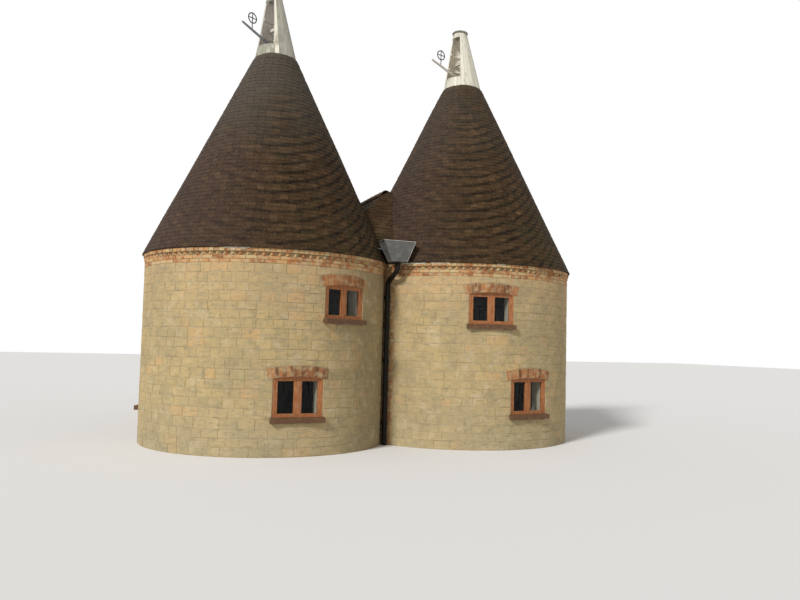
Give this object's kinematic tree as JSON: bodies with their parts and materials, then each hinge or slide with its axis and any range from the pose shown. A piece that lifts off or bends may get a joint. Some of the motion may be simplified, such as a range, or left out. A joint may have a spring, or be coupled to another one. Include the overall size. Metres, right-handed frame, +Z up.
{
  "type": "oast house",
  "caption": "Conjoined round stone kilns under tall tiled cone roofs with turning boarded cowls, and a gabled store built against their back.",
  "frame": {"origin": "on the ground midway between the two kiln centres, at the foot of the shared wall", "axes": "+Z up, +X from the left kiln to the right kiln as seen from the front, +Y from the kilns towards the store behind; -Y is the front"},
  "size_m": [10.6336, 11.9501, 10.5253],
  "materials": {
    "clay_tiles": "dark brown clay tiles with lichen",
    "coursed_stone": "weathered buff sandstone in courses",
    "floor_stone": "worn paving",
    "floor_timber": "bare softwood",
    "lead": "dull grey lead",
    "pipe_iron": "black-painted cast iron",
    "red_brick": "weathered orange-red brick",
    "vane_iron": "dark painted iron",
    "white_boards": "white-painted boards, weathered",
    "window_glass": "dark window glass",
    "window_timber": "orange-brown stained timber"
  },
  "bodies": {
    "root": {"bearing_beams": "floor_timber", "casements": "window_timber", "cowl_curbs": "floor_timber", "doorway_heads": "coursed_stone", "downpipe": "pipe_iron", "floor_joists": "floor_timber", "ground_floor": "floor_stone", "hopper_head": "lead", "left_cone_roof": "clay_tiles", "left_eaves_band": "red_brick", "left_kiln_front_wall": "coursed_stone", "left_kiln_outer_wall": "coursed_stone", "left_kiln_rear_wall": "coursed_stone", "left_kiln_side_wall": "coursed_stone", "party_wall": "coursed_stone", "pipe_brackets": "pipe_iron", "rear_piers": "coursed_stone", "right_cone_roof": "clay_tiles", "right_eaves_band": "red_brick", "right_kiln_front_wall": "coursed_stone", "right_kiln_outer_wall": "coursed_stone", "right_kiln_rear_wall": "coursed_stone", "right_kiln_side_wall": "coursed_stone", "store_door": "window_timber", "store_door_frame": "window_timber", "store_left_wall": "coursed_stone", "store_rear_left_wall": "coursed_stone", "store_rear_middle_wall": "coursed_stone", "store_rear_right_wall": "coursed_stone", "store_ridge_tiles": "clay_tiles", "store_right_wall": "coursed_stone", "store_roof_hip": "clay_tiles", "store_roof_left": "clay_tiles", "store_roof_right": "clay_tiles", "upper_floor": "floor_timber", "valley_gutter": "lead", "window_arches": "red_brick", "window_frames": "window_timber", "window_glass": "window_glass", "window_sills": "window_timber"},
    "left_cowl": {"left_cowl_shell": "white_boards", "left_cowl_post": "white_boards", "left_cowl_cap": "white_boards", "left_vane_arm": "white_boards", "left_vane_emblem": "vane_iron"},
    "right_cowl": {"right_cowl_shell": "white_boards", "right_cowl_post": "white_boards", "right_cowl_cap": "white_boards", "right_vane_arm": "white_boards", "right_vane_emblem": "vane_iron"}
  },
  "joints": [
    {"name": "left_cowl_turn", "type": "hinge", "parent": "root", "child": "left_cowl", "pos_m": [-2.48, 0, 8.93], "axis": [0, 0, 1], "continuous": true},
    {"name": "right_cowl_turn", "type": "hinge", "parent": "root", "child": "right_cowl", "pos_m": [2.48, 0, 8.93], "axis": [0, 0, 1], "continuous": true}
  ]
}
